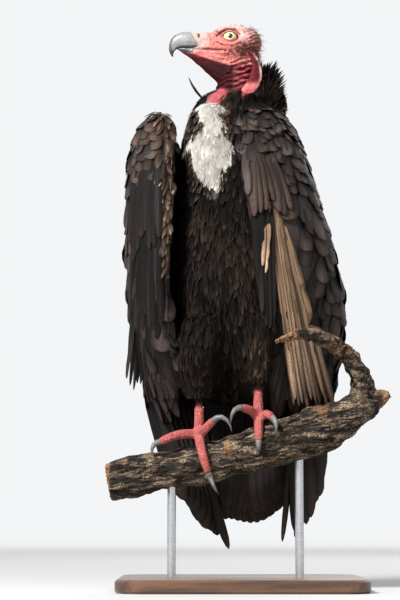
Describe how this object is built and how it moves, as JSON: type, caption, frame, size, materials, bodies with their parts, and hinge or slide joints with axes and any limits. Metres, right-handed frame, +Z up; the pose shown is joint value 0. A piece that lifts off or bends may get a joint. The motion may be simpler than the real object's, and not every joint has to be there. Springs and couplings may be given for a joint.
{
  "type": "vulture",
  "caption": "Life-size red-headed vulture gripping a cut length of dead branch, head in profile, folded wings, on a flat display base with rods.",
  "frame": {"origin": "middle of the stand base's underside box, at the bottom of the object", "axes": "+Z up; the chest faces -Y turned 25 degrees towards -X; the head looks along -X; the branch runs along X and rises towards +X"},
  "size_m": [0.398, 0.29, 0.7888],
  "materials": {
    "plumage": "overlapping dark brown-black contour feathers with a slate sheen",
    "flight_feathers": "stiff brown-black vanes, paler and worn on the inner secondaries",
    "down": "soft white down",
    "skin": "bare wrinkled pink-red skin, deep red in the folds",
    "cere": "smooth pale pink skin",
    "horn": "smooth grey horn, darker at the cutting edge",
    "claw": "dark grey horn with a paler ridge",
    "leg_skin": "salmon-pink scaly skin",
    "eye": "glossy, pale yellow iris and black pupil",
    "bark": "dry cracked grey-brown bark with orange-tan broken wood",
    "stand_wood": "dark stained and waxed board",
    "stand_steel": "brushed rod"
  },
  "bodies": {
    "root": {"trunk": "plumage", "ruff": "plumage", "thigh_left": "plumage", "thigh_right": "plumage", "wing_left_wrist": "plumage", "wing_right_wrist": "plumage", "wing_left_coverts": "plumage", "wing_right_coverts": "plumage", "wing_left_flight": "flight_feathers", "wing_right_flight": "flight_feathers", "wing_left_primaries": "flight_feathers", "wing_right_primaries": "flight_feathers", "tail": "flight_feathers", "crop": "down", "head": "skin", "throat": "skin", "neck": "skin", "lappet_left": "skin", "lappet_right": "skin", "cere": "cere", "bill_upper": "horn", "bill_lower": "horn", "claw_left_middle": "claw", "claw_left_outer": "claw", "claw_left_inner": "claw", "claw_left_hind": "claw", "claw_right_middle": "claw", "claw_right_outer": "claw", "claw_right_inner": "claw", "claw_right_hind": "claw", "foot_left": "leg_skin", "foot_right": "leg_skin", "shank_left": "leg_skin", "shank_right": "leg_skin", "eye_left": "eye", "eye_right": "eye", "perch": "bark", "stand_base": "stand_wood", "stand_rod_1": "stand_steel", "stand_rod_2": "stand_steel"}
  },
  "joints": []
}
